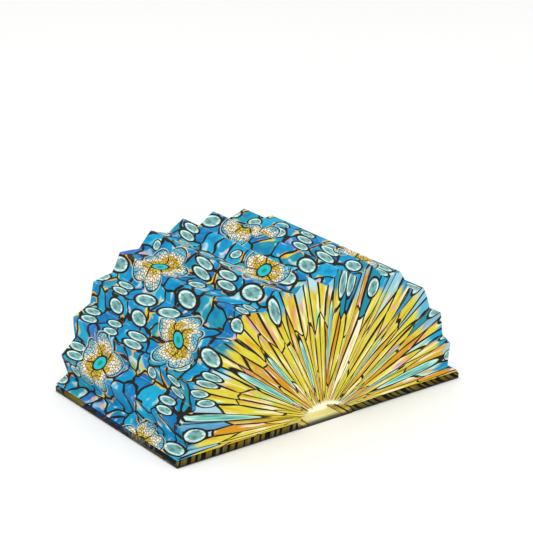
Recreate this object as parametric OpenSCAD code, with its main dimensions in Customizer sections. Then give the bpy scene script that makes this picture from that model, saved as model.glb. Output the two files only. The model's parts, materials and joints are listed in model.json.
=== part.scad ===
// Folding book lamp, opened flat: two hard covers hinged along a narrow spine,
// with a pleated paper shade fanned from one cover to the other over a light bar.
// Millimetres. X runs across the open covers, Y along the spine, Z up from the table.
// The origin is the middle of the spine's underside.

/* [Covers] */
// Height of the covers, along the spine
cover_h = 122; // [110:1:140]
// From the hinge line to the fore edge
cover_reach = 88; // [88:1:96]
// Thickness of a finished cover
cover_t = 4.4; // [4.2:0.1:5]
// Width of the soft joint between the spine and a board
joint_w = 7; // [6.6:0.1:8]
// Corner radius seen from above
corner_r = 1.6; // [1.4:0.1:3]
// Rounding of the edges on the shade's side
shoulder_r = 2.8; // [2:0.1:3]
// Rounding of the edges on the table's side
edge_r = 1.1; // [0.6:0.1:1.2]
// Thickness of the printed wrap
wrap_t = 0.25; // [0.2:0.05:0.4]

/* [Spine] */
// Distance between the two hinge lines, which is the closed thickness
spine_w = 23.4; // [22.6:0.2:26]
// Thickness of the finished spine strip
spine_t = 1.6; // [1.4:0.1:1.8]

/* [Light bar] */
// Length of the frosted light bar
bar_l = 100; // [96:1:104]
// Height of its top above the table
bar_top = 8.6; // [8.4:0.1:9]
// Width of the bar at its foot
bar_w = 19.2; // [18.6:0.2:20]
// Number of light chips
led_count = 14; // [6:1:18]

/* [Shade] */
// Distance from a hinge line to the outer folds
ridge_r = 86.3; // [84:0.1:87]
// Depth of the folds on the fore edge
fold_depth = 6; // [4:0.5:7]
// Angle of the lowest inner fold above the table
first_angle = 6.8; // [6.2:0.2:8]
// Distance of the foot folds from the covers' edges
foot_margin = 0.6; // [0.4:0.2:2]
// Distance of the inner folds from the covers' near end
near_inset = 1.6; // [1:0.2:4]
// How much further in the outer folds end there
near_tuck = 2.4; // [1:0.2:3.4]
// Distance of the inner folds from the covers' far end
far_inset = 1; // [1:0.2:4]
// How far the outer folds stand out past them there
far_flare = 0.6; // [0.2:0.2:0.8]
// Thickness of the paper as built
paper_t = 0.4; // [0.3:0.05:0.5]

/* [Hidden] */
$fn = 48;
fit = 0.05;
hinge_x = spine_w / 2;
half_h = cover_h / 2;
board_x = hinge_x + joint_w;
board_w = cover_reach - joint_w;
board_mid = board_x + board_w / 2;
liner_inset = 7;
magnet_d = 8;
magnet_t = 2;

// Spine strip: narrower than the closed thickness, so that the joints can fold beside it
spine_half = hinge_x - 0.8;

// Light bar: the dome is a circular arc over its foot
dome_h = bar_top - spine_t;
dome_r = (pow(bar_w / 2, 2) + dome_h * dome_h) / (2 * dome_h);
dome_z = bar_top - dome_r;
dome_wall = 1;
cap_t = 1.2;
tray_w = 14.4;
tray_l = bar_l - 2 * cap_t - 0.4;
tray_wall = 0.8;
tray_rim_z = spine_t + 1.8;
floor_z = spine_t + tray_wall;
led_board_z = spine_t + 3.8;
led_board_t = 0.6;
led_board_w = 8.8;
led_board_l = bar_l - 2 * cap_t - 4;
led_size = [1.6, 2.8, 0.6];
post_x = 3;
post_ys = [-44, 14];
post_d = 2.6;
screw_d = 1.2;
screw_head = [2.2, 0.5];
battery_size = [11.4, 44, 2.6];
battery_y = -17;
charge_size = [10.4, 26, 0.6];
charge_y = tray_l / 2 - tray_wall - 0.1 - charge_size.y / 2;
socket_size = [7.5, 5.4, 2.1];
socket_y = bar_l / 2 - cap_t - 0.1 - socket_size.y / 2;
switch_y = 9;
switch_d = 1.8;
switch_l = 9;
lead_d = 0.5;

// Shade: thirteen pleats, so that one stands over the spine. A fold line has a number from 0 at
// the right cover to 26 at the left one. Even lines are outer folds and odd lines are inner folds.
mid_line = 13;
valley_r = ridge_r - fold_depth;
mid_angle = acos(-hinge_x / valley_r);
foot_z = cover_t + 0.2;
foot_reach = cover_reach - foot_margin;
foot_angle = atan(foot_z / foot_reach);
inner_x = hinge_x + joint_w - 0.8;
inner_top = bar_top + 0.3;
// The cut between two pleats, as a share of the step between fold lines
cut_outer = 0.025;
cut_inner = 0.12;

// ---- shared shapes ----

module rounded_rect(size, r) {
    square([size.x - 2 * r, size.y], center = true);
    square([size.x, size.y - 2 * r], center = true);
    for (sx = [-1, 1], sy = [-1, 1])
        translate([sx * (size.x / 2 - r), sy * (size.y / 2 - r)]) circle(r);
}

// Cross-section of a slab, rounded more at the top than at its foot
module slab_profile(width, height, shoulder, edge) {
    waist = height - shoulder;
    translate([-width / 2, edge]) square([width, waist - edge]);
    translate([edge - width / 2, 0]) square([width - 2 * edge, waist]);
    for (s = [-1, 1]) translate([s * (width / 2 - edge), edge]) circle(edge);
    intersection() {
        translate([-width / 2, waist]) square([width, shoulder]);
        union() {
            translate([shoulder - width / 2, waist]) square([width - 2 * shoulder, shoulder]);
            for (s = [-1, 1]) translate([s * (width / 2 - shoulder), waist]) circle(shoulder);
        }
    }
}

// A slab with rounded edges whose corners are mitred and then rounded. Its foot is at z = 0.
module soft_slab(size, corner, shoulder, edge) {
    intersection() {
        linear_extrude(size.z) rounded_rect([size.x, size.y], corner);
        rotate([90, 0, 0]) linear_extrude(size.y + 2, center = true)
            slab_profile(size.x, size.z, shoulder, edge);
        rotate([90, 0, 90]) linear_extrude(size.x + 2, center = true)
            slab_profile(size.y, size.z, shoulder, edge);
    }
}

module block(size, centre, foot) {
    translate([centre.x - size.x / 2, centre.y - size.y / 2, foot]) cube(size);
}

// ---- spine ----

module spine_card() {
    color("#b9a98a")
        block([2 * spine_half - 2, cover_h - 2 * spine_t - 1, spine_t - 2 * wrap_t],
              [0, 0], wrap_t);
}

// The printed wrap goes round the card. Its two ends roll down to the table.
module spine_wrap() {
    color("#c9b040") difference() {
        union() {
            block([2 * spine_half, cover_h - 2 * spine_t, spine_t], [0, 0], 0);
            intersection() {
                block([2 * spine_half, cover_h, spine_t], [0, 0], 0);
                for (s = [-1, 1]) translate([0, s * (half_h - spine_t), 0])
                    rotate([0, 90, 0]) cylinder(h = 2 * spine_half, r = spine_t, center = true);
            }
        }
        block([2 * spine_half - 2 + 2 * fit, cover_h - 2 * spine_t - 1 + 2 * fit,
               spine_t - 2 * wrap_t + 2 * fit], [0, 0], wrap_t - fit);
    }
}

// ---- light bar ----

module dome_profile(r) {
    intersection() {
        translate([0, dome_z]) circle(r, $fn = 96);
        translate([-bar_w, spine_t]) square([2 * bar_w, bar_top]);
    }
}

module along_spine(length, y = 0) {
    translate([0, y + length / 2, 0]) rotate([90, 0, 0]) linear_extrude(length) children();
}

module diffuser() {
    color("#fbf6e4") along_spine(bar_l) difference() {
        dome_profile(dome_r);
        dome_profile(dome_r - dome_wall);
    }
}

module end_cap(side) {
    y = side * (bar_l - cap_t) / 2;
    color("#fbf6e4") difference() {
        along_spine(cap_t, y) dome_profile(dome_r - dome_wall - fit);
        if (side > 0)
            block([socket_size.x + 0.6, 2 * cap_t, socket_size.z + 0.5],
                  [0, y], floor_z + charge_size.z - 0.25);
    }
}

module bar_tray() {
    color("#f2efe6") difference() {
        union() {
            difference() {
                block([tray_w, tray_l, tray_rim_z - spine_t], [0, 0], spine_t);
                block([tray_w - 2 * tray_wall, tray_l - 2 * tray_wall, tray_rim_z],
                      [0, 0], floor_z);
            }
            for (x = [-post_x, post_x], y = post_ys) translate([x, y, spine_t])
                cylinder(h = led_board_z - spine_t, d = post_d);
        }
        for (x = [-post_x, post_x], y = post_ys) translate([x, y, floor_z])
            cylinder(h = led_board_z, d = screw_d + 0.04);
        block([socket_size.x + 0.6, 2, tray_rim_z], [0, (tray_l - tray_wall) / 2],
              floor_z + charge_size.z - 0.25);
    }
}

module led_board() {
    color("#e8ece8") difference() {
        block([led_board_w, led_board_l, led_board_t], [0, 0], led_board_z);
        for (x = [-post_x, post_x], y = post_ys) translate([x, y, led_board_z - 1])
            cylinder(h = led_board_t + 2, d = screw_d + 0.2);
    }
}

module led_chips() {
    pitch = (led_board_l - 8) / (led_count - 1);
    color("#f6e27a") for (i = [0 : led_count - 1])
        block(led_size, [0, (i - (led_count - 1) / 2) * pitch], led_board_z + led_board_t);
}

module board_screws() {
    color("#c8c8cc") for (x = [-post_x, post_x], y = post_ys) translate([x, y, 0]) {
        translate([0, 0, floor_z + 0.3])
            cylinder(h = led_board_z + led_board_t - floor_z - 0.2, d = screw_d);
        translate([0, 0, led_board_z + led_board_t])
            cylinder(h = screw_head.y, d = screw_head.x);
    }
}

module battery() {
    color("#8a8f98") block(battery_size, [0, battery_y], floor_z + 0.05);
}

module charge_board() {
    color("#1f6b3a") block(charge_size, [0, charge_y], floor_z);
}

module charge_socket() {
    color("#c9c9cd") difference() {
        block(socket_size, [0, socket_y], floor_z + charge_size.z);
        block([socket_size.x - 0.8, socket_size.y, socket_size.z - 0.8],
              [0, socket_y + 0.8], floor_z + charge_size.z + 0.4);
    }
}

module reed_switch() {
    color("#7fb0a0") translate([0, switch_y, floor_z + switch_d / 2 + 0.1])
        rotate([0, 90, 0]) cylinder(h = switch_l, d = switch_d, center = true);
}

// Two leads run along the tray's wall from the battery to the charging board.
module power_leads() {
    lead_x = (battery_size.x + lead_d) / 2 + 0.02;
    lead_start = battery_y + battery_size.y / 2 - 6;
    lead_end = charge_y - charge_size.y / 2 + 4;
    color("#b03a2e") for (s = [-1, 1])
        translate([s * lead_x, (lead_start + lead_end) / 2, tray_rim_z - lead_d / 2])
            rotate([90, 0, 0])
                cylinder(h = lead_end - lead_start, d = lead_d, center = true, $fn = 24);
}

// ---- covers, drawn on the right and mirrored for the left ----

module magnet_places() {
    for (p = [[board_mid + board_w / 2 - 9, -half_h + 14],
              [board_mid + board_w / 2 - 9, half_h - 14],
              [board_x + 9, switch_y]])
        translate([p.x, p.y, cover_t - wrap_t - magnet_t - 0.6]) children();
}

module board() {
    color("#a99a80") difference() {
        translate([board_mid, 0, wrap_t])
            soft_slab([board_w - 2 * wrap_t, cover_h - 2 * wrap_t, cover_t - 2 * wrap_t],
                      corner_r - wrap_t, shoulder_r - wrap_t, edge_r - wrap_t);
        magnet_places() cylinder(h = magnet_t + 2, d = magnet_d + 2 * fit);
    }
}

module wrap() {
    color("#1f86cf") difference() {
        translate([board_mid, 0, 0])
            soft_slab([board_w, cover_h, cover_t], corner_r, shoulder_r, edge_r);
        translate([board_mid, 0, wrap_t])
            soft_slab([board_w - 2 * wrap_t, cover_h - 2 * wrap_t, cover_t - 2 * wrap_t],
                      corner_r - wrap_t, shoulder_r - wrap_t, edge_r - wrap_t);
        translate([board_mid, 0, cover_t / 2]) linear_extrude(cover_t)
            rounded_rect([board_w - 2 * liner_inset, cover_h - 2 * liner_inset], 2);
    }
}

module liner() {
    color("#e6cf6a") translate([board_mid, 0, cover_t - wrap_t]) linear_extrude(wrap_t)
        rounded_rect([board_w - 2 * liner_inset - 0.2, cover_h - 2 * liner_inset - 0.2], 1.9);
}

module magnets() {
    color("#b8bcc2") magnet_places() cylinder(h = magnet_t, d = magnet_d);
}

module soft_joint() {
    start = spine_half + 0.3;
    color("#a08a2a") block([board_x + edge_r - start, cover_h - 2 * corner_r, 0.5],
                           [(board_x + edge_r + start) / 2, 0], 0);
}

module joint_strip() {
    difference() {
        soft_joint();
        translate([board_mid, 0, -fit])
            soft_slab([board_w + 2 * fit, cover_h + 2 * fit, cover_t + 2 * fit],
                      corner_r + fit, shoulder_r + fit, edge_r + fit);
    }
}

// ---- shade ----

function fold_angle(line) = line < 1
    ? foot_angle + (first_angle - foot_angle) * line
    : first_angle + (mid_angle - first_angle) * (line - 1) / (mid_line - 1);

function fold_x(line, r) = hinge_x + r * cos(fold_angle(line));
function fold_z(line, r) = r * sin(fold_angle(line));
function root_x(share) = inner_x * pow(1 - share, 1.25);
function root_z(share) = foot_z + (inner_top - foot_z) * sin(90 * share);

// How far from the hinge line a fold is, and how far from the middle its two ends are. The foot
// fold follows the cover's edges. skin is 0 on the outside of the paper and 1 on the inside.
function is_foot(line, outer) = outer && line < 1;
function fold_r(line, outer) =
    !outer ? valley_r : is_foot(line, outer) ? norm([foot_reach, foot_z]) : ridge_r;
function near_end(line, outer, share, skin) = half_h - skin * paper_t
    - (is_foot(line, outer) ? foot_margin : near_inset + (outer ? share * near_tuck : 0));
function far_end(line, outer, share, skin) = half_h - skin * paper_t
    - (is_foot(line, outer) ? foot_margin : far_inset - (outer ? share * far_flare : 0));

// One fold line of the shade on the right of the middle: from the near end's foot, out
// to the near corner, along the fore edge and back to the far end's foot.
function fold_path(line, outer, root_line, skin) =
    let (r = fold_r(line, outer) - skin * paper_t,
         x = fold_x(line, r), z = fold_z(line, r),
         share = min(root_line / mid_line, 1),
         xi = root_x(share), zi = root_z(share))
    [[xi, -near_end(line, outer, 0.6, skin), zi], [x, -near_end(line, outer, 1, skin), z],
     [x, far_end(line, outer, 1, skin), z], [xi, far_end(line, outer, 0.6, skin), zi]];

function flip_x(path) = [for (p = path) [-p.x, p.y, p.z]];

// Four corners to two triangles. corner 0 or 1 starts the diagonal.
function split(q, corner) = corner == 0
    ? [[q[0], q[1], q[2]], [q[0], q[2], q[3]]]
    : [[q[0], q[1], q[3]], [q[1], q[2], q[3]]];

function backward(face) = [face[2], face[1], face[0]];

// The thin shell over three fold lines: outer fold, inner fold, outer fold.
module pleat_shell(paths) {
    points = [for (skin = paths, path = skin, p = path) p];
    at = function (a, p, s) 12 * s + 4 * a + p;
    skins = [for (a = [0, 1], p = [0 : 2], t = split([at(a, p, 0), at(a + 1, p, 0),
                at(a + 1, p + 1, 0), at(a, p + 1, 0)], (a + (p == 2 ? 1 : 0)) % 2)) t];
    lining = [for (t = skins) [for (v = backward(t)) v + 12]];
    sides = [for (a = [0, 2], p = [0 : 2], t = split([at(a, p, 0), at(a, p + 1, 0),
                at(a, p + 1, 1), at(a, p, 1)], 0)) a == 0 ? t : backward(t)];
    feet = [for (a = [0, 1], p = [0, 3], t = split([at(a, p, 0), at(a, p, 1),
                at(a + 1, p, 1), at(a + 1, p, 0)], 0)) p == 0 ? t : backward(t)];
    polyhedron(points, concat(skins, lining, sides, feet), convexity = 6);
}

// Pleat 1 stands on the right cover and the middle one stands over the spine.
module pleat(number) {
    line = 2 * number - 2;
    middle = line + 1 == mid_line;
    color("#2a8fd0") pleat_shell([for (skin = [0, 1]) [
        fold_path(line + cut_outer, true, line + cut_inner, skin),
        fold_path(line + 1, false, line + 1, skin),
        middle ? flip_x(fold_path(line + cut_outer, true, line + cut_inner, skin))
               : fold_path(line + 2 - cut_outer, true, line + 2 - cut_inner, skin)
    ]]);
}

// ---- nodes ----

spine_card();
spine_wrap();
bar_tray();
diffuser();
end_cap(-1);  // end_cap_near
end_cap(1);  // end_cap_far
led_board();
led_chips();
board_screws();
battery();
charge_board();
charge_socket();
reed_switch();
power_leads();
board();  // board_right
wrap();  // wrap_right
liner();  // liner_right
magnets();  // magnets_right
joint_strip();  // joint_right
mirror([1, 0, 0]) board();  // board_left
mirror([1, 0, 0]) wrap();  // wrap_left
mirror([1, 0, 0]) liner();  // liner_left
mirror([1, 0, 0]) magnets();  // magnets_left
mirror([1, 0, 0]) joint_strip();  // joint_left
pleat(1);  // pleat_01
pleat(2);  // pleat_02
pleat(3);  // pleat_03
pleat(4);  // pleat_04
pleat(5);  // pleat_05
pleat(6);  // pleat_06
pleat(7);  // pleat_07
mirror([1, 0, 0]) pleat(6);  // pleat_08
mirror([1, 0, 0]) pleat(5);  // pleat_09
mirror([1, 0, 0]) pleat(4);  // pleat_10
mirror([1, 0, 0]) pleat(3);  // pleat_11
mirror([1, 0, 0]) pleat(2);  // pleat_12
mirror([1, 0, 0]) pleat(1);  // pleat_13
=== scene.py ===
"""The look of a folding book lamp: hard covers and a spine, a pleated paper shade that carries a
leaded-glass print, and a glowing light bar. Sizes are in metres. The print's own coordinates are
in millimetres, across the folds and along them."""

import json
import math
from functools import partial

import bmesh
import bpy
import numpy as np
from bpy.props import FloatProperty, FloatVectorProperty, PointerProperty
from mathutils import Matrix, Vector


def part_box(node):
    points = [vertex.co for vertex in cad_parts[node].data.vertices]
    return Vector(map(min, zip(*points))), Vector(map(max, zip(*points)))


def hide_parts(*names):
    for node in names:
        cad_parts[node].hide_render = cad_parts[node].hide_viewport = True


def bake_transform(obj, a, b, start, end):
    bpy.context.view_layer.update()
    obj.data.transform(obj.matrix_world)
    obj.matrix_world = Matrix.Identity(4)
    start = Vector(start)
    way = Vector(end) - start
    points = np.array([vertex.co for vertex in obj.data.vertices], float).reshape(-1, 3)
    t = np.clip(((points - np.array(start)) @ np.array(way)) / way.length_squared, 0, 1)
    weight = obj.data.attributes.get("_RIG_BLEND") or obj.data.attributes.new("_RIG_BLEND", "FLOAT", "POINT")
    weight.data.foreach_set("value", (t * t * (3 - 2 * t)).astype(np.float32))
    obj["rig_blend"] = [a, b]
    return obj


bl_info = {
    "name": "Folding book lamp",
    "version": (1, 0, 0),
    "blender": (4, 5, 0),
    "location": "View3D > Sidebar > Book Lamp",
    "description": "Builds the shade, covers, spine and light bar of a folding book lamp",
    "category": "Object",
}

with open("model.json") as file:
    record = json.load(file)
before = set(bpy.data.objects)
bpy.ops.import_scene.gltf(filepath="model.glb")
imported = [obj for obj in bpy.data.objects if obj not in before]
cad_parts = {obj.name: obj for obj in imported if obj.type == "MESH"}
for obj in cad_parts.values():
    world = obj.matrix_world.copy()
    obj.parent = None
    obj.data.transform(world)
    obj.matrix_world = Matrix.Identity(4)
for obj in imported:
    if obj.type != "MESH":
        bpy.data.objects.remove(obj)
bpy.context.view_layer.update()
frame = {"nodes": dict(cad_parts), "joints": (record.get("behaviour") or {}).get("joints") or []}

MM = 0.001
PANELS = 13  # from a cover's foot fold to the fold over the spine
HINGE_X = next(j["pos_m"][0] for j in frame["joints"] if j["name"] == "right_cover_hinge")
COVER_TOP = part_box("wrap_right")[1].z
COVER_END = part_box("wrap_right")[1].y
BOARD_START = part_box("wrap_right")[0].x
BOARD_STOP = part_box("wrap_right")[1].x
SPINE_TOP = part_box("spine_wrap")[1].z
SPINE_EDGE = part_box("spine_wrap")[1].x
BAR_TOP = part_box("diffuser")[1].z
BAR_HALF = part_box("diffuser")[1].x
PANEL_WIDTH = 12.3  # printed width of a panel between two folds, in millimetres
HALF_EDGE = 59.2  # half of a fold's printed length along the fore edge, in millimetres
END_RUN = 74.0  # printed length of a fold from the fore edge to the spine, in millimetres
FOOT_Z = COVER_TOP + 0.2 * MM


def linear(code):
    """An sRGB colour code such as 1F6FD0 as linear red, green and blue."""
    shares = [int(code[i : i + 2], 16) / 255 for i in (0, 2, 4)]
    return [c / 12.92 if c <= 0.04045 else ((c + 0.055) / 1.055) ** 2.4 for c in shares]


def paint(name, description, code):
    """A colour property with this default."""
    return FloatVectorProperty(
        name=name, description=description, subtype="COLOR", size=3, min=0, max=1,
        default=linear(code),
    )


def length(name, description, default):
    """A length property with this default in metres."""
    return FloatProperty(name=name, description=description, default=default, unit="LENGTH")


# ---- sizes and colours a user would change ----


class ShadeSettings(bpy.types.PropertyGroup):
    """The pleated paper shade."""

    ridge_radius: length("Ridge radius", "From a hinge line to the outer folds", 0.0863)
    fold_depth: length("Fold depth", "How far the inner folds lie under the outer ones", 0.006)
    first_angle: FloatProperty(
        name="First fold", description="Angle of the lowest inner fold above the table",
        subtype="ANGLE", default=math.radians(6.8),
    )
    foot_margin: length("Foot margin", "From the shade's foot folds to the covers' edges", 0.0006)
    near_inset: length("Near inset", "From the covers' near end to the inner folds", 0.0016)
    near_tuck: length("Near tuck", "How much further in the outer folds end there", 0.0024)
    far_inset: length("Far inset", "From the covers' far end to the inner folds", 0.001)
    far_flare: length("Far flare", "How far the outer folds stand out past them there", 0.0006)
    paper: length("Paper", "Thickness of the folded paper", 0.0003)
    belly: length("Belly", "How far a panel may bow between two folds", 0.0004)
    glow: FloatProperty(name="Glow", description="Light through the paper", default=0.3, min=0)


class PrintSettings(bpy.types.PropertyGroup):
    """The colours of the leaded-glass print."""

    lead: paint("Lead", "Lines between the panes", "1F1A14")
    deep: paint("Deep blue", "Darkest panes of the field", "0464A4")
    sky: paint("Sky blue", "Most panes of the field", "0084B6")
    cyan: paint("Cyan", "Light panes of the field", "149CC2")
    teal: paint("Teal", "Green-blue panes", "1C8898")
    violet: paint("Violet", "The few violet-blue panes", "2C5CB0")
    cloud: paint("Cloud", "White streaks in the blue panes", "BFE0E0")
    yellow: paint("Yellow", "Most of the rays", "D4C83A")
    gold: paint("Gold", "Deeper rays", "CCA428")
    orange: paint("Orange", "Warmest rays", "CE8E1C")
    cream: paint("Cream", "Milky rays", "F1E6C4")
    mint: paint("Mint", "Rim of the glass drops", "CDEAE0")
    drop: paint("Drop", "Middle of the glass drops", "74A6A4")
    turquoise: paint("Turquoise", "Hearts of the blossoms", "12B4C6")


class StageSettings(bpy.types.PropertyGroup):
    """Camera and studio."""

    azimuth: FloatProperty(
        name="Azimuth", description="Camera's turn round the lamp", subtype="ANGLE",
        default=math.radians(-37.42),
    )
    elevation: FloatProperty(
        name="Elevation", description="Camera's height above the table, as an angle",
        subtype="ANGLE", default=math.radians(20.66),
    )
    roll: FloatProperty(
        name="Roll", description="Camera's lean", subtype="ANGLE", default=math.radians(0.61),
    )
    distance: length("Distance", "From the camera to the point it looks at", 1.0732)
    lens: FloatProperty(
        name="Lens", description="Focal length in mm on a 36 mm sensor", default=128.9,
    )
    floor: paint("Floor", "The studio floor", "F9F9F8")
    ambient: FloatProperty(name="Ambient", description="Light from all round", default=0.85)
    key: FloatProperty(name="Key light", description="Power of the large lamp", default=16.0)


# ---- materials ----

MATH = "ShaderNodeMath"
VECTOR = "ShaderNodeVectorMath"
NOISE = "ShaderNodeTexNoise"
VORONOI = "ShaderNodeTexVoronoi"
WHITE = "ShaderNodeTexWhiteNoise"
RANGE = "ShaderNodeMapRange"  # a value, from min, from max, to min, to max
MIX = "ShaderNodeMix"
RAMP = "ShaderNodeValToRGB"
JOIN = "ShaderNodeCombineXYZ"
AXES = "ShaderNodeSeparateXYZ"
SHARES = "ShaderNodeSeparateColor"
TURN = "ShaderNodeVectorRotate"
BUMP = "ShaderNodeBump"
COORDINATES = "ShaderNodeTexCoord"
PRINTED = "ShaderNodeUVMap"
USUAL = {NOISE: {"noise_dimensions": "2D"}, VORONOI: {"voronoi_dimensions": "2D"},
         MIX: {"data_type": "RGBA"}, TURN: {"rotation_type": "Z_AXIS"},
         PRINTED: {"uv_map": "print"}}


def add_node(tree, kind, inputs=(), operation=None, stops=(), **settings):
    """Adds one node. inputs gives the open sockets, in order or by name, a value, a node or one of
    its outputs. operation is that of a maths node. stops are the places and colours of a colour
    ramp. settings add to the usual ones of its kind."""
    node = tree.nodes.new(kind)
    if operation:
        node.operation = operation
    if stops:
        ramp = node.color_ramp
        ramp.interpolation = settings.pop("interpolation", "LINEAR")
        for place, _ in stops[2:]:
            ramp.elements.new(place)
        for element, (place, colour) in zip(ramp.elements, stops):
            element.position = place
            element.color = [*colour[:3], 1.0]
    for name, value in {**USUAL.get(kind, {}), **settings}.items():
        setattr(node, name, value)
    sockets = [s for s in node.inputs if s.enabled]
    for name, value in inputs.items() if isinstance(inputs, dict) else enumerate(inputs):
        socket = sockets[name] if isinstance(name, int) else next(
            s for s in sockets if s.name == name)
        if isinstance(value, bpy.types.Node):
            value = next(o for o in value.outputs if o.enabled)
        if isinstance(value, bpy.types.NodeSocket):
            tree.links.new(value, socket)
        else:
            socket.default_value = [*value[:3], 1.0] if socket.type == "RGBA" else value
    return node


def start_material(name):
    """A material with no nodes, and the function that adds nodes to it."""
    material = bpy.data.materials.new(name)
    material.use_nodes = True
    material.node_tree.nodes.clear()
    return material, partial(add_node, material.node_tree)


def end_material(node, inputs):
    """Ends a material in one principled shader."""
    node("ShaderNodeOutputMaterial", {"Surface": node("ShaderNodeBsdfPrincipled", inputs)})


def lustre(node, place, colours):
    """The rainbow tints that single spots of the glass have."""
    hue = node(NOISE, {"Vector": place, "Scale": 1 / 5})
    return node(RAMP, [hue], stops=[(0.3, linear("8B6FD8")), (0.4, linear("F08FB0")),
                                    (0.5, colours.orange), (0.6, colours.yellow),
                                    (0.7, linear("58D08A"))])


def panes(node, place, pitch, jitter, squash=1.0):
    """Panes between random points: the nearest point, its draw of three random numbers, and how
    many millimetres inside its own pane a place is. squash is how much smaller than in print
    the second coordinate of place is, so that lead is as wide across the panes as along them."""
    grid = {"Vector": place, "Scale": 1 / pitch, "Randomness": jitter}
    own = node(VORONOI, grid)
    other = node(VORONOI, grid, feature="F2")
    apart = node(VECTOR, [other.outputs["Position"], own.outputs["Position"]], "SUBTRACT")
    halfway = node(VECTOR, [apart, (0.5, 0.5, 0), own.outputs["Position"]], "MULTIPLY_ADD")
    left = node(VECTOR, [halfway, place], "SUBTRACT")
    toward = node(VECTOR, [left, apart], "DOT_PRODUCT").outputs["Value"]
    printed = node(VECTOR, [apart, (1, squash, 0)], "MULTIPLY")
    size = node(VECTOR, [printed], "LENGTH").outputs["Value"]
    inside = node(MATH, [toward, size], "DIVIDE")
    return own, node(SHARES, [own.outputs["Color"]]), inside


def blue_panes(node, place, colours):
    """The field's curved blue panes: their colour and the lead between them."""
    pitch, jitter = 12.5, 0.9
    bend = node(NOISE, {"Vector": place, "Scale": 1 / 16, "Detail": 1.0})
    bent = node(VECTOR, [bend.outputs["Color"], (11, 11, 0), place], "MULTIPLY_ADD")
    own, draw, inside = panes(node, bent, pitch, jitter)
    # The blurred distance falls short most where three panes meet, which thickens the joins.
    blurred = node(VORONOI, {"Vector": bent, "Scale": 1 / pitch, "Randomness": jitter,
                             "Smoothness": 0.35}, feature="SMOOTH_F1")
    gap = node(MATH, [own, blurred], "SUBTRACT")
    join = node(RANGE, [gap, 0.034, 0.041])
    lead = node(MATH, [node(RANGE, [inside, 1.05, 0.8]), join], "MAXIMUM")
    own_place = node(VECTOR, [own.outputs["Color"], (90, 90, 0), place], "MULTIPLY_ADD")
    milk = node(NOISE, {"Vector": own_place, "Scale": 1 / 9, "Detail": 1.0, "Distortion": 0.3})
    body = node(RAMP, [draw.outputs["Red"]], interpolation="CONSTANT", stops=[
        (0, colours.deep), (0.2, colours.sky), (0.5, colours.cyan), (0.66, colours.sky),
        (0.8, colours.teal), (0.95, colours.violet)])
    # Brush strokes run along each pane in a direction of their own, out of a full turn.
    way = node(MATH, [draw.outputs["Green"], 6.3], "MULTIPLY")
    turned = node(TURN, {"Vector": own_place, "Angle": way})
    strokes = node(NOISE, {"Vector": node(VECTOR, [turned, (1, 0.3, 0)], "MULTIPLY"),
                           "Scale": 1 / 2.5, "Detail": 2.0})
    brushed = node(MIX, [node(RANGE, [strokes, 0.35, 0.7, 0.0, 0.45]), body, colours.cyan])
    shaded = node(MIX, [node(RANGE, [milk, 0.46, 0.3, 0.0, 0.6]), brushed, colours.deep])
    clouded = node(MIX, [node(RANGE, [milk, 0.6, 0.74, 0.0, 0.9]), shaded, colours.cloud])
    flash = node(NOISE, {"Vector": own_place, "Scale": 1 / 9, "Detail": 0.5})
    tinted = node(MIX, [node(RANGE, [flash, 0.7, 0.76, 0.0, 0.7]), clouded,
                        lustre(node, place, colours)])
    # Small gold chips lie against the lead.
    chip = node(NOISE, {"Vector": bent, "Scale": 1 / 10, "Detail": 0.0, "Distortion": 0.5})
    near_lead = node(RANGE, [inside, 2.6, 1.2, -0.2, 0.0])
    gilt = node(RANGE, [node(MATH, [chip, near_lead], "ADD"), 0.635, 0.65])
    gold = node(MIX, [node(RANGE, [milk, 0.4, 0.6]), linear("DE9226"), colours.yellow])
    colour = node(MIX, [gilt, tinted, gold])
    return colour, lead


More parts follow.
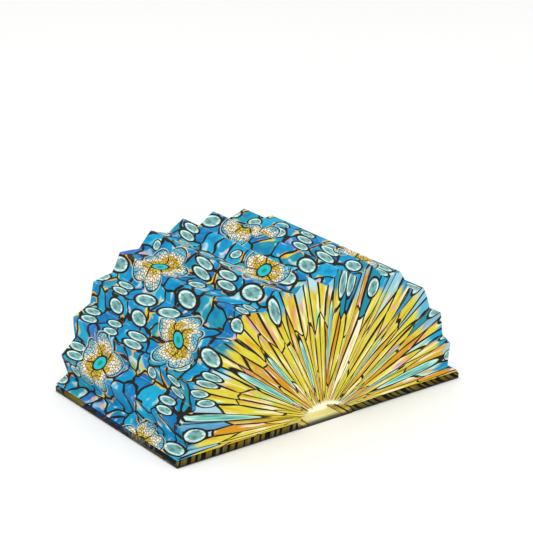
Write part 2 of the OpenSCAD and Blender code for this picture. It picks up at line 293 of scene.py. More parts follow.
def ray_panes(node, place, depth, reach, colours):
    """The long panes that run from the field to the spine: their colour, the lead between them,
    and 1 where they lie but 0 in the blue field. reach is how far the field's own panes run on
    past its end, and 0 cuts them there."""
    pitch, jitter, squash = 6.6, 0.68, 0.18
    end_shift = 31.0  # keeps the print at one end from being the other's mirror image
    wave_width, wave_start, wave_height, wave_middle = 210.0, -1.8, 7.0, 3.0
    at = node(AXES, [place])
    end = node(MATH, [at.outputs["Y"]], "SIGN")
    across = node(MATH, [end, end_shift, at.outputs["X"]], "MULTIPLY_ADD")
    slim = node(JOIN, {"X": across, "Y": node(MATH, [depth, squash], "MULTIPLY")})
    bend = node(NOISE, {"Vector": slim, "Scale": 1 / 8, "Detail": 0.0})
    bent = node(VECTOR, [bend.outputs["Color"], (4, 2, 0), slim], "MULTIPLY_ADD")
    own, draw, inside = panes(node, bent, pitch, jitter, squash)
    lead = node(RANGE, [inside, 0.85, 0.6])
    body = node(RAMP, [draw.outputs["Red"]], interpolation="CONSTANT", stops=[
        (0, colours.yellow), (0.4, colours.gold), (0.54, colours.orange), (0.58, colours.cream),
        (0.6, colours.yellow), (0.95, linear("A8DCD0"))])
    own_place = node(VECTOR, [own.outputs["Color"], (60, 60, 0), slim], "MULTIPLY_ADD")
    streak = node(NOISE, {"Vector": own_place, "Scale": 1 / 3.5, "Detail": 1.5})
    milky = node(MIX, [node(RANGE, [streak, 0.55, 0.68, 0.0, 0.85]), body, colours.cream])
    warm = node(MIX, [node(RANGE, [streak, 0.42, 0.28, 0.0, 0.75]), milky, colours.orange])
    flash = node(NOISE, {"Vector": own_place, "Scale": 1 / 5, "Detail": 1.0})
    spotted = node(MIX, [node(RANGE, [flash, 0.62, 0.67, 0.0, 0.75]), warm,
                         lustre(node, slim, colours)])
    # Tips near the field are blue-green and fade to gold.
    tip_blue = node(RAMP, [draw.outputs["Blue"]], stops=[
        (0.15, colours.teal), (0.35, colours.sky), (0.6, colours.cloud), (0.8, colours.cyan)])
    tip_reach = node(MATH, [draw.outputs["Green"], -20.0, depth], "MULTIPLY_ADD")
    uneven = node(MATH, [streak, 16.0, tip_reach], "MULTIPLY_ADD")
    tip = node(RANGE, [uneven, 4.0, -1.0])
    # The field reaches down the ends in waves; a pane whose point lies there is all blue.
    point = node(AXES, [own.outputs["Position"]])
    phase = node(MATH, [point.outputs["X"], math.tau / wave_width, wave_start], "MULTIPLY_ADD")
    wave = node(MATH, [phase], "COSINE")
    swell = node(MATH, [wave, wave_height, wave_middle], "MULTIPLY_ADD")
    start = node(MATH, [node(MATH, [swell, reach], "ADD"), squash], "MULTIPLY")
    chosen = node(MATH, [point.outputs["Y"], start], "GREATER_THAN")
    blue = node(MATH, [tip, node(MATH, [1.0, chosen], "SUBTRACT")], "MAXIMUM")
    colour = node(MIX, [blue, spotted, tip_blue])
    at_rim = node(MATH, [reach, 1.0], "LESS_THAN")
    drawn = node(MATH, [chosen, at_rim], "MAXIMUM")
    past_rim = node(MATH, [depth, 0.0], "GREATER_THAN")
    return colour, lead, node(MATH, [drawn, past_rim], "MULTIPLY")


def drops(node, place, rows, allowed, window, small, spread, turn, pair=0):
    """Oval glass drops, at most one in a cell of a grid whose columns are the shade's panels, so
    that none lies across a fold. rows is the grid's pitch along the folds. A cell is drawn if its
    random number is in window and its centre in the allowed range. pair sets two drops side by
    side, this far from the cell's middle. Gives how far out a point is in its drop, which is 1
    on the outline, and the drop's own coordinates."""
    at = node(AXES, [place])
    column = node(MATH, [node(MATH, [at.outputs["X"], PANEL_WIDTH], "DIVIDE")], "FLOOR")
    stagger = node(WHITE, {"W": column}, noise_dimensions="1D").outputs["Value"]
    raised = node(MATH, [node(MATH, [at.outputs["Y"], rows], "DIVIDE"), stagger], "ADD")
    row = node(MATH, [raised], "FLOOR")
    cell = node(WHITE, [node(JOIN, [column, row, rows])])
    draw = node(SHARES, [cell.outputs["Color"]])
    middle = node(MATH, [column, PANEL_WIDTH, PANEL_WIDTH / 2], "MULTIPLY_ADD")
    height = node(MATH, [node(MATH, [row, stagger], "SUBTRACT"), rows, rows / 2], "MULTIPLY_ADD")
    offset = node(VECTOR, [place, node(JOIN, {"X": middle, "Y": height})], "SUBTRACT")
    angle = node(RANGE, [draw.outputs["Red"], 0.0, 1.0, -turn, turn])
    flat = node(VECTOR, [offset, (1, 1, 0)], "MULTIPLY")
    turned = node(TURN, {"Vector": flat, "Angle": angle})
    if pair:
        beside = node(VECTOR, [turned], "SIGN")
        turned = node(VECTOR, [beside, (-pair, 0, 0), turned], "MULTIPLY_ADD")
        sideways = node(AXES, [beside]).outputs["X"]
        turned = node(VECTOR, [sideways, (0, pair / 2, 0), turned], "MULTIPLY_ADD")
    radii = node(VECTOR, [draw.outputs["Green"], (*spread, 0), (*small, 1)], "MULTIPLY_ADD")
    local = node(VECTOR, [turned, radii], "DIVIDE")
    out = node(VECTOR, [local], "LENGTH").outputs["Value"]
    within = [node(MATH, [value, sum(span) / 2, (span[1] - span[0]) / 2], "COMPARE")
              for value, span in ((height, allowed), (draw.outputs["Blue"], window))]
    absent = node(MATH, [1.0, node(MATH, within, "MULTIPLY")], "SUBTRACT")
    return node(MATH, [absent, 9.0, out], "MULTIPLY_ADD"), local


def set_drops(node, colour, lead, drop, rim, middle):
    """Lays glass drops with a lead outline over a colour and its lead."""
    out, local = drop
    inside = node(RANGE, [out, 1.0, 0.95])
    ring = node(RANGE, [out, 1.29, 1.22])
    drawn = node(VECTOR, [local, (1, 0.55, 1)], "MULTIPLY")
    drift = node(NOISE, {"Vector": drawn, "Scale": 2.4, "Detail": 1.5, "Distortion": 0.4},
                 noise_dimensions="3D")
    uneven = node(MATH, [drift, 0.3, out], "MULTIPLY_ADD")
    glass = node(MIX, [node(RANGE, [uneven, 0.78, 0.98]), middle, rim])
    smoke = node(MIX, [node(RANGE, [drift, 0.52, 0.36, 0.0, 0.7]), glass, linear("2E5A5C")])
    outlined = node(MATH, [lead, ring], "MAXIMUM")
    cleared = node(MATH, [outlined, node(MATH, [1.0, inside], "SUBTRACT")], "MULTIPLY")
    return node(MIX, [inside, colour, smoke]), cleared


def blossoms(node, place, colours):
    """Five-petalled blossoms of small gold and cream chips in staggered rows. Gives the colour,
    the lead in and round them, and how many millimetres inside the outline a point is."""
    pitch, row_pitch, petal = 72.0, 54.0, math.pi / 5
    waist, bulge, heart_size, ring_size, chip_size = 8.0, 10.0, 4.2, 4.7, 1.9
    twist = 0.037  # how far one is turned for each millimetre across the folds
    flat = node(AXES, [place])
    row = node(MATH, [node(MATH, [flat.outputs["Y"], row_pitch], "DIVIDE")], "FLOOR")
    shifted = node(MATH, [row, pitch / 2, flat.outputs["X"]], "MULTIPLY_ADD")
    x = node(MATH, [shifted, pitch / 2, -pitch / 2], "WRAP")
    above = node(MATH, [row, -row_pitch, flat.outputs["Y"]], "MULTIPLY_ADD")
    y = node(MATH, [above, row_pitch / 2], "SUBTRACT")
    column = node(MATH, [node(MATH, [shifted, x], "SUBTRACT"), twist, row], "MULTIPLY_ADD")
    reach = node(VECTOR, [node(JOIN, {"X": x, "Y": y})], "LENGTH")
    angle = node(MATH, [node(MATH, [y, x], "ARCTAN2"), column], "ADD")
    off = node(MATH, [node(MATH, [angle, petal, -petal], "WRAP")], "ABSOLUTE")
    share = node(MATH, [off, petal], "DIVIDE")
    squared = node(MATH, [share, share], "MULTIPLY")
    lobe = node(MATH, [node(MATH, [1.0, squared], "SUBTRACT")], "SQRT")
    inside = node(MATH, [node(MATH, [lobe, bulge, waist], "MULTIPLY_ADD"), reach], "SUBTRACT")
    rest = node(MATH, [petal, off], "SUBTRACT")
    between = node(MATH, [reach, node(MATH, [rest], "SINE")], "MULTIPLY")
    vein = node(MATH, [reach, node(MATH, [off], "SINE")], "MULTIPLY")
    seams = node(MATH, [node(RANGE, [between, 0.6, 0.4]),
                        node(RANGE, [vein, 0.3, 0.15, 0.0, 0.7])], "MAXIMUM")
    outline = node(RANGE, [inside, 0.15, -0.1])
    chips = node(VORONOI, {"Vector": place, "Scale": 1 / chip_size}, feature="DISTANCE_TO_EDGE")
    chip_lead = node(RANGE, [chips, 0.15, 0.06, 0.0, 0.9])
    petal_lead = node(MATH, [seams, chip_lead], "MAXIMUM")
    tone = node(NOISE, {"Vector": place, "Scale": 1 / 6, "Detail": 1.0})
    graded = node(MATH, [tone, 14.0, reach], "MULTIPLY_ADD")
    body = node(RAMP, [node(RANGE, [graded, 8.0, 26.0])], stops=[
        (0.1, colours.yellow), (0.42, colours.gold), (0.54, colours.cream),
        (0.7, linear("E4DCC4")), (0.85, linear("6FBAD0"))])
    heart = node(RANGE, [reach, heart_size, heart_size - 0.2])
    heart_colour = node(MIX, [node(RANGE, [reach, 1.6, 1.9]), linear("0E8F6E"), colours.turquoise])
    colour = node(MIX, [heart, body, heart_colour])
    heart_ring = node(MATH, [reach, ring_size, 0.6], "COMPARE")
    clear = node(MATH, [1.0, heart], "SUBTRACT")
    inner_lead = node(MATH, [node(MATH, [petal_lead, heart_ring], "MAXIMUM"), clear], "MULTIPLY")
    lead = node(MATH, [inner_lead, outline], "MAXIMUM")
    return colour, lead, inside


def leaded_print(colours):
    """Node group of the whole print: a field of blue panes with glass drops and blossoms, and
    long golden panes that run from it. Depth is how far past the field's end a point is, and
    Reach how far the field's panes run on past it."""
    tree = bpy.data.node_groups.new("leaded_glass_print", "ShaderNodeTree")
    for name, kind in (("Place", "NodeSocketVector"), ("Depth", "NodeSocketFloat"),
                       ("Reach", "NodeSocketFloat")):
        tree.interface.new_socket(name, in_out="INPUT", socket_type=kind)
    tree.interface.new_socket("Colour", in_out="OUTPUT", socket_type="NodeSocketColor")
    node = partial(add_node, tree)
    given = node("NodeGroupInput").outputs
    place, depth, reach = given["Place"], given["Depth"], given["Reach"]
    field, field_lead = blue_panes(node, place, colours)
    rays, ray_lead, in_rays = ray_panes(node, place, depth, reach, colours)
    colour = node(MIX, [in_rays, field, rays])
    # A ray's own lead also closes off the field beside it.
    beside = node(MATH, [ray_lead, node(RANGE, [depth, 0.0, 0.3])], "MULTIPLY")
    lead = node(MIX, [in_rays, field_lead, beside], data_type="FLOAT")
    # Slim drops lie along the rays, because their grid is drawn out five times along them.
    across = node(AXES, [place]).outputs["X"]
    squash, slim_rows, slim_range = 0.2, 17.0, (3.0, 11.0)
    drawn_out = node(JOIN, [across, node(MATH, [depth, squash], "MULTIPLY")])
    slim = drops(node, drawn_out, slim_rows, slim_range, (0.0, 0.9), (2.4, 2.6), (0.8, 2.4), 0.03)
    colour, lead = set_drops(node, colour, lead, slim, linear("BFEFE2"), linear("74C4B6"))
    # Round drops of three sizes fill the field; some long ones lie two by two.
    rows, end = 22.5, HALF_EDGE + 9
    for window, small, spread, turn, pair in (
            ((0.0, 0.32), (3.5, 4.6), (1.3, 4.0), 0.2, 0),
            ((0.32, 0.48), (2.2, 5.8), (0.4, 2.6), 0.16, 2.8),
            ((0.48, 0.58), (2.0, 2.4), (1.6, 2.4), 0.8, 0)):
        round_ones = drops(node, place, rows, (-end, end), window, small, spread, turn, pair)
        colour, lead = set_drops(node, colour, lead, round_ones, colours.mint, colours.drop)
    # Blossoms lie over all this in the field alone, each with a lead rim and a pale halo.
    rim, halo_half, halo_strength = 0.9, 0.4, 0.6
    flower, flower_lead, petals = blossoms(node, place, colours)
    past = node(MATH, [reach, -2.0, depth], "MULTIPLY_ADD")
    off_field = node(RANGE, [past, -1.0, 0.0, 0.0, -40.0])
    in_flower = node(MATH, [petals, off_field], "ADD")
    covered = node(MATH, [in_flower, -rim], "GREATER_THAN")
    halo = node(MATH, [in_flower, -rim - halo_half, halo_half], "COMPARE")
    colour = node(MIX, [covered, colour, flower])
    lead = node(MIX, [covered, lead, flower_lead], data_type="FLOAT")
    leaded = node(MIX, [lead, colour, colours.lead])
    haloed = node(MIX, [node(MATH, [halo, halo_strength], "MULTIPLY"), leaded, linear("C9D6CF")])
    node("NodeGroupOutput", {"Colour": haloed})
    return tree


def printed_shade_paper(print_group, shade):
    """Coated art paper, offset printed and machine folded: an even, slightly silky face that
    light from inside shines through, whitest near the light bar, with pale wear on the folds."""
    material, node = start_material("printed_shade_paper")
    glow_start, lit_half, fade = 40.0, 90.0, 40.0
    place = node(PRINTED)
    run = node(MATH, [node(AXES, [place]).outputs["Y"]], "ABSOLUTE")
    depth = node(MATH, [run, HALF_EDGE], "SUBTRACT")
    glass = node("ShaderNodeGroup", {"Place": place, "Depth": depth}, node_tree=print_group)
    near_bar = node(RANGE, [depth, glow_start, END_RUN], interpolation_type="SMOOTHSTEP")
    # Painted glow: the ends that stand over the bar are painted nearly white, as if lit by it; those low
    # beside it are not.
    across = node(AXES, [place]).outputs["X"]
    aside = node(MATH, [node(MATH, [across, PANELS * PANEL_WIDTH], "SUBTRACT")], "ABSOLUTE")
    low_end = node(RANGE, [depth, END_RUN - 3.0, END_RUN - 1.0])
    over_bar = node(RANGE, [aside, lit_half + fade, lit_half, 0.0, 0.9])
    at_bar = node(MATH, [low_end, over_bar], "MULTIPLY")
    painted_bar_glow = node(MIX, [at_bar, glass, linear("FFFCE8")])
    fold = node(MATH, [node(MATH, [across, PANEL_WIDTH / 2, -PANEL_WIDTH / 2], "WRAP")], "ABSOLUTE")
    rubbing = node(NOISE, {"Vector": place, "Scale": 1 / 6, "Detail": 2.0})
    on_fold = node(RANGE, [fold, 0.3, 0.1])
    rubbed = node(RANGE, [rubbing, 0.4, 0.7, 0.0, 0.25])
    worn = node(MATH, [on_fold, rubbed], "MULTIPLY")
    colour = node(MIX, [worn, painted_bar_glow, linear("E8E4D4")])
    share = node(RANGE, [near_bar, 0.0, 1.0, 0.4, 0.5])
    light = node(VECTOR, {0: colour, "Scale": share}, "SCALE")
    grain = node(NOISE, {"Vector": place, "Scale": 1 / 0.8, "Detail": 3.0})
    bump = node(BUMP, {"Height": grain, "Strength": 0.08, "Distance": 0.1 * MM})
    end_material(node, {"Base Color": colour, "Roughness": 0.5, "IOR": 1.5, "Normal": bump,
                        "Specular IOR Level": 0.1,
                        "Emission Color": light, "Emission Strength": shade.glow})
    return material


def plain_shade_paper():
    """The uncoated back of the same paper: matt, off-white, with a soft cloudy fibre look and a
    faint painted glow.
    """
    material, node = start_material("plain_shade_paper")
    place = node(PRINTED)
    fibre = node(NOISE, {"Vector": place, "Scale": 1 / 4, "Detail": 4.0})
    colour = node(RAMP, [fibre], stops=[(0.3, linear("F3EDDA")), (0.7, linear("FFFDF4"))])
    # The weak emission is painted glow: it stands in for the light bar lighting the inside of the shade.
    end_material(node, {"Base Color": colour, "Roughness": 0.8, "IOR": 1.5,
                        "Emission Color": linear("FFF8E6"), "Emission Strength": 0.2})
    return material


def printed_book_cloth(print_group):
    """Laminated printed paper glued round grey board: darker than the lit shade, with a gloss
    film on top, and painted shade that darkens it where it turns over the board's edge."""
    material, node = start_material("printed_book_cloth")
    field_half, reach, lean, shift, ink_depth = 6.0, 26.0, 0.8, -5.0, 1.5
    stripe_pitch, stripe_half = 5.2, 1.05
    where = node(COORDINATES).outputs["Object"]
    at = node(AXES, [node(VECTOR, {0: where, "Scale": 1 / MM}, "SCALE")])
    sides, signs = {}, {}
    for axis in "XY":
        signs[axis] = node(MATH, [at.outputs[axis]], "SIGN")
        sides[axis] = node(MATH, [signs[axis], at.outputs["Z"], at.outputs[axis]], "MULTIPLY_ADD")
    depth = node(MATH, [node(MATH, [sides["Y"]], "ABSOLUTE"), field_half], "SUBTRACT")
    past_end = node(MATH, [depth, COVER_END / MM - field_half], "SUBTRACT")
    over_end = node(MATH, [past_end, 0.0], "MAXIMUM")
    leaning = node(MATH, [over_end, lean, sides["X"]], "MULTIPLY_ADD")
    centred = node(MATH, [signs["X"], shift, leaning], "MULTIPLY_ADD")
    place = node(JOIN, [centred, sides["Y"]])
    glass = node("ShaderNodeGroup", [place, depth, reach], node_tree=print_group)
    # The thick ink on book paper is deeper than on the lit shade.
    inked = node("ShaderNodeGamma", [glass, ink_depth])
    # Painted shade: the print is kept bright on the outside of the cover and darkened on its edges, most so
    # low down, where less light falls.
    edge = node(RANGE, [at.outputs["Z"], 0.2, 4.0, 0.03, 0.32])
    insets = [node(MATH, [stop / MM, node(MATH, [at.outputs[axis]], "ABSOLUTE")], "SUBTRACT")
              for stop, axis in ((BOARD_STOP, "X"), (COVER_END, "Y"))]
    on_face = node(RANGE, [node(MATH, insets, "MINIMUM"), 0.3, 1.3])
    low = node(MATH, [at.outputs["Z"], 0.4], "LESS_THAN")
    outside = node(MATH, [on_face, low], "MULTIPLY")
    painted_shade_scale = node(MIX, [outside, edge, 0.72], data_type="FLOAT")
    # Black stripes run aslant over the near and far edges.
    drift = node(NOISE, {"W": leaning, "Scale": 1 / 9}, noise_dimensions="1D")
    sway = node(MATH, [drift, 9.0, leaning], "MULTIPLY_ADD")
    beside = node(MATH, [sway, stripe_pitch / 2, -stripe_pitch / 2], "WRAP")
    stripe = node(MATH, [beside, 0.0, stripe_half], "COMPARE")
    at_end = node(MATH, [over_end, 0.3], "GREATER_THAN")
    left = node(MATH, [1.0, node(MATH, [stripe, at_end], "MULTIPLY")], "SUBTRACT")
    gilded = node(MIX, [node(MATH, [at_end, 0.7], "MULTIPLY"), inked, linear("CCB428")])
    dark = node(VECTOR, {0: gilded, "Scale": node(MATH, [painted_shade_scale, left], "MULTIPLY")}, "SCALE")
    grain = node(NOISE, {"Vector": where, "Scale": 900.0, "Detail": 3.0}, noise_dimensions="3D")
    bump = node(BUMP, {"Height": grain, "Strength": 0.1, "Distance": 0.1 * MM})
    end_material(node, {"Base Color": dark, "Roughness": 0.4, "IOR": 1.5, "Normal": bump,
                        "Specular IOR Level": 0.12})
    return material


def printed_spine_paper():
    """Laminated paper with a plain gold tint: faint mottling, and painted shade that darkens it where it
    rolls under.
    """
    material, node = start_material("printed_spine_paper")
    where = node(COORDINATES).outputs["Object"]
    along = node(MATH, [node(AXES, [where]).outputs["Y"]], "ABSOLUTE")
    cloud = node(NOISE, {"Vector": where, "Scale": 90.0, "Detail": 3.0}, noise_dimensions="3D")
    tint = node(RAMP, [cloud], stops=[(0.35, linear("FBF2A0")), (0.65, linear("FFFCC4"))])
    # Painted shade: towards each end the tint darkens nearly to black over the last 5 mm, where the paper
    # rolls under.
    roll = node(RANGE, [along, COVER_END, COVER_END - 5 * MM, 0.04, 1.0],
                interpolation_type="SMOOTHSTEP")
    colour = node(VECTOR, {0: tint, "Scale": roll}, "SCALE")
    end_material(node, {"Base Color": colour, "Roughness": 0.4, "IOR": 1.5,
                        "Specular IOR Level": 0.25})
    return material


def printed_joint_paper():
    """The same laminated paper where it bends between spine and board: gold with brown streaks
    across the bend, one black line along each side of it, and painted shade on its rolled ends."""
    material, node = start_material("printed_joint_paper")
    at = node(AXES, [node(PRINTED)])
    across, along = at.outputs["X"], at.outputs["Y"]
    slim = node(JOIN, {"X": node(MATH, [across, 0.25], "MULTIPLY"), "Y": along})
    streak = node(NOISE, {"Vector": slim, "Scale": 1 / 2.5, "Detail": 3.0})
    tint = node(RAMP, [streak], stops=[(0.3, linear("A88A2C")), (0.5, linear("DCC452")),
                                       (0.68, linear("F0E080"))])
    drift = node(NOISE, {"W": along, "Scale": 1 / 8}, noise_dimensions="1D")
    wobble = node(MATH, [drift, 0.6, across], "MULTIPLY_ADD")
    lines = [node(MATH, [wobble, place, half], "COMPARE")
             for place, half in ((1.4, 0.35), (5.6, 0.6))]
    either = node(MATH, lines, "MAXIMUM")
    lined = node(MIX, [either, tint, linear("191208")])
    # Painted shade: towards each end the colour darkens nearly to black over the last 3.5 mm, where the
    # paper rolls down.
    end = COVER_END / MM
    roll = node(RANGE, [node(MATH, [along], "ABSOLUTE"), end, end - 3.5, 0.06, 1.0],
                interpolation_type="SMOOTHSTEP")
    colour = node(VECTOR, {0: lined, "Scale": roll}, "SCALE")
    end_material(node, {"Base Color": colour, "Roughness": 0.4, "IOR": 1.5,
                        "Specular IOR Level": 0.25})
    return material


def fibrous(name, dark, light, size, roughness, depth):
    """Pressed pulp such as grey board or endpaper: matt, with soft clouds of fibre. size is the
    width of a cloud."""
    material, node = start_material(name)
    where = node(COORDINATES).outputs["Object"]
    fibre = node(NOISE, {"Vector": where, "Scale": 1 / size, "Detail": 5.0, "Distortion": 0.5},
                 noise_dimensions="3D")
    colour = node(RAMP, [fibre], stops=[(0.32, linear(dark)), (0.68, linear(light))])
    bump = node(BUMP, {"Height": fibre, "Strength": 0.3, "Distance": depth})
    end_material(node, {"Base Color": colour, "Roughness": roughness, "IOR": 1.5,
                        "Normal": bump})
    return material


def frosted_acrylic():
    """Moulded opal acrylic with light behind it: an even white glow with a satin skin."""
    material, node = start_material("frosted_acrylic")
    where = node(COORDINATES).outputs["Object"]
    frost = node(NOISE, {"Vector": where, "Scale": 700.0, "Detail": 2.0}, noise_dimensions="3D")
    colour = node(RAMP, [frost], stops=[(0.3, linear("F6F1E2")), (0.7, linear("FFFDF6"))])
    bump = node(BUMP, {"Height": frost, "Strength": 0.15, "Distance": 0.05 * MM})
    end_material(node, {"Base Color": colour, "Roughness": 0.45, "IOR": 1.49, "Normal": bump,
                        "Emission Color": linear("FFFAEC"), "Emission Strength": 0.4})
    return material


def moulded_plastic(name, code, roughness, metallic=0.0, glow=0.0):
    """Smooth moulded, plated or coated stock for a small part: even colour with the faint
    mottling of its skin."""
    material, node = start_material(name)
    where = node(COORDINATES).outputs["Object"]
    skin = node(NOISE, {"Vector": where, "Scale": 1 / (1.5 * MM), "Detail": 3.0},
                noise_dimensions="3D")
    base = np.array(linear(code))
    colour = node(RAMP, [skin], stops=[(0.3, base * 0.82), (0.7, np.minimum(base * 1.1, 1))])
    bump = node(BUMP, {"Height": skin, "Strength": 0.1, "Distance": 0.02 * MM})
    inputs = {"Base Color": colour, "Roughness": roughness, "Metallic": metallic,
              "Normal": bump}
    if glow:
        inputs.update({"Emission Color": linear(code), "Emission Strength": glow})
    end_material(node, inputs)
    return material


def dress(nodes, material):
    """Gives carried-over solids a material in place of their packed one."""
    for name in nodes:
        for slot in frame["nodes"][name].material_slots:
            slot.material = material


# ---- the pleated shade ----


def fold_line(number, shade):
    """One fold on the right of the middle, as four corners: its near end at the spine, the near
    corner, the far corner and its far end at the spine. Fold 0 lies on the cover, even folds are
    outer ones, and the last stands over the spine."""
    outer = number % 2 == 0
    inner_radius = shade.ridge_radius - shade.fold_depth
    radius = shade.ridge_radius if outer else inner_radius
    over_spine = math.acos(-HINGE_X / inner_radius)
    turn = (number - 1) / (PANELS - 1)
    angle = shade.first_angle + (over_spine - shade.first_angle) * turn
    near, far = COVER_END - shade.near_inset, COVER_END - shade.far_inset
    drawn_in, flared = (shade.near_tuck, shade.far_flare) if outer else (0, 0)
    if number == 0:
        reach = BOARD_STOP - shade.foot_margin - HINGE_X
        radius, angle = math.hypot(reach, FOOT_Z), math.atan2(FOOT_Z, reach)
        near = far = COVER_END - shade.foot_margin
        drawn_in = flared = 0
    share = number / PANELS
    root_x = (BOARD_START - 0.8 * MM) * (1 - share) ** 1.25
    root_z = FOOT_Z + (BAR_TOP + 0.3 * MM - FOOT_Z) * math.sin(math.pi / 2 * share)
    x, z = HINGE_X + radius * math.cos(angle), radius * math.sin(angle)
    return np.array([(root_x, 0.6 * drawn_in - near, root_z), (x, drawn_in - near, z),
                     (x, far + flared, z), (root_x, far + 0.6 * flared, root_z)])


def along_line(corners, steps):
    """Points along a fold with rows close to its corners, and their printed coordinate in
    millimetres: the distance along the fold from the middle of the fore edge. The sheet is cut
    straight, so every fold has its corners and its ends at the same printed distances."""
    close = 0.02
    shares = [np.append(np.linspace(0, 1 - close, steps), 1 - close / 2),
              np.concatenate([[0, close / 2], np.linspace(close, 1 - close, 2 * steps),
                              [1 - close / 2]]),
              np.concatenate([[0, close / 2], np.linspace(close, 1, steps)])]
    points = np.concatenate([
        corners[i] + np.outer(share, corners[i + 1] - corners[i])
        for i, share in enumerate(shares)])
    lengths = np.append(0, np.cumsum(np.linalg.norm(np.diff(points, axis=0), axis=1)))
    runs = np.append(0, np.cumsum(np.linalg.norm(np.diff(corners, axis=0), axis=1)))
    printed = [-HALF_EDGE - END_RUN, -HALF_EDGE, HALF_EDGE, HALF_EDGE + END_RUN]
    return points, np.interp(lengths, runs, printed)


def soften(points, axis):
    """Rounds a crease a little: every point moves a quarter of the way to the mean of its two
    neighbours along one axis of the grid."""
    moved = np.moveaxis(points, axis, 0).copy()
    moved[1:-1] += 0.25 * ((moved[:-2] + moved[2:]) / 2 - moved[1:-1])
    return np.moveaxis(moved, 0, axis)


def sheet_mesh(name, points, prints):
    """A smooth mesh over a grid of points, with the print's coordinates as its UV map."""
    rows, columns = points.shape[:2]
    mesh = bpy.data.meshes.new(name)
    corners = [(r * columns + c, r * columns + c + 1, (r + 1) * columns + c + 1,
                (r + 1) * columns + c) for r in range(rows - 1) for c in range(columns - 1)]
    mesh.from_pydata(points.reshape(-1, 3).tolist(), [], corners)
    layer = mesh.uv_layers.new(name="print")
    flat = prints.reshape(-1, 2)
    picked = flat[[loop.vertex_index for loop in mesh.loops]]
    layer.data.foreach_set("uv", picked.astype(np.float32).ravel())
    mesh.shade_smooth()
    return mesh


def final_mesh(piece):
    """Applies the piece's modifiers to its mesh."""
    bpy.context.view_layer.update()
    shaped = bpy.data.meshes.new_from_object(
        piece.evaluated_get(bpy.context.evaluated_depsgraph_get()))
    piece.modifiers.clear()
    piece.data = shaped
    return shaped


def link_piece(name, mesh, materials):
    """A new object in the scene with these materials."""
    piece = bpy.data.objects.new(name, mesh)
    bpy.context.scene.collection.objects.link(piece)
    for material in materials:
        mesh.materials.append(material)
    return piece


def closing_share(points):
    """How much of a cover's turn each point of the paper follows, so that the closed folds lie
    side by side between the covers and stay clear of the light bar. points are on the right."""
    x, z = points[:, 0] - HINGE_X, points[:, 2]
    radius, angle = np.hypot(x, z), np.arctan2(z, x)
    share = np.clip(points[:, 3] / PANELS, 0, 1)
    closed_x = (HINGE_X - COVER_TOP - 0.3 * MM) * (1 - share)
    closed = np.arccos(np.clip((closed_x - HINGE_X) / radius, -1, 1))
    # The bar's dome is an arc; no point may turn past where its own circle meets it.
    dome = BAR_TOP - SPINE_TOP
    bar_radius = (BAR_HALF**2 + dome**2) / (2 * dome)
    bar_z = BAR_TOP - bar_radius
    away, lean = math.hypot(HINGE_X, bar_z), math.atan2(-bar_z, HINGE_X)
    clear = bar_radius + 0.5 * MM
    meet = np.clip((radius**2 + away**2 - clear**2) / (2 * radius * away), -1, 1)
    stop = np.where(radius < away + clear, math.pi + lean - np.arccos(meet), math.pi)
    return np.clip((np.minimum(closed, stop) - angle) / (math.pi / 2), 0, 1)


def build_half_shade(side, shade, materials):
    """Half of the shade, from one cover's foot fold to the fold over the spine. side is 1 on the
    right and -1 on the left."""
    steps = 20  # rows of points on each stretch of a fold
    parts = (0, 0.06, 0.35, 0.65, 0.94)  # across a panel, two of them close to its folds
    lines = [along_line(fold_line(number, shade), steps) for number in range(PANELS + 1)]
    places = [line + part for line in range(PANELS) for part in parts]
    places.append(PANELS)
    columns, prints = [], []
    for place in places:
        low = min(int(place), PANELS - 1)
        part = place - low
        points, runs = ((1 - part) * lines[low][i] + part * lines[low + 1][i] for i in (0, 1))
        columns.append(points)
        printed = place if side > 0 else 2 * PANELS - place
        prints.append(np.column_stack([np.full(len(runs), printed * PANEL_WIDTH), runs]))
    points = np.stack(columns, axis=1)
    points = soften(soften(points, 1), 0)
    numbers = np.array(places)
    # Each panel bows a little in or out along its length, as folded paper does.
    waves, offset = 3, 2.3  # along a panel, and from one panel to the next
    rows = np.linspace(0, math.pi, points.shape[0])[:, None]
    bow = np.sin(math.pi * (numbers % 1)) ** 2 * np.sin(
        waves * rows + offset * np.floor(numbers)) * shade.belly
    outward = points - [HINGE_X, 0, 0]
    outward[..., 1] = 0
    outward /= np.linalg.norm(outward, axis=2, keepdims=True)
    points = points + outward * bow[..., None]
    points *= [side, 1, 1]
    name = "shade_right" if side > 0 else "shade_left"
    mesh = sheet_mesh(name, points[:, ::side], np.stack(prints, axis=1)[:, ::side])
    fold_number = mesh.attributes.new("fold_number", "FLOAT", "POINT")
    spread = np.broadcast_to(numbers[::side], points.shape[:2])
    fold_number.data.foreach_set("value", spread.astype(np.float32).ravel())
    piece = link_piece(name, mesh, materials)
    outside = mesh.polygons[len(mesh.polygons) // 2]
    if outside.normal.dot(outside.center) < 0:
        mesh.flip_normals()
    skin = piece.modifiers.new("paper", "SOLIDIFY")
    skin.thickness = shade.paper
    skin.offset = -1
    skin.material_offset = 1
    mesh = final_mesh(piece)
    mesh.set_sharp_from_angle(angle=math.radians(32))
    body = "right_cover" if side > 0 else "left_cover"
    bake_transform(piece, "spine", body, (0, 0, 0), (side * BOARD_START, 0, 0))
    where = np.array([v.co for v in mesh.vertices]) * [side, 1, 1]
    folds = np.zeros(len(where), np.float32)
    mesh.attributes["fold_number"].data.foreach_get("value", folds)
    follows = closing_share(np.column_stack([where, folds]))
    mesh.attributes["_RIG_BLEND"].data.foreach_set("value", follows.astype(np.float32))
    mesh.attributes.remove(mesh.attributes["fold_number"])
    numbers_stood_for = range(1, 8) if side > 0 else range(8, 14)
    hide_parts(*(f"pleat_{n:02d}" for n in numbers_stood_for))
    return piece


# ---- the soft joints beside the spine ----


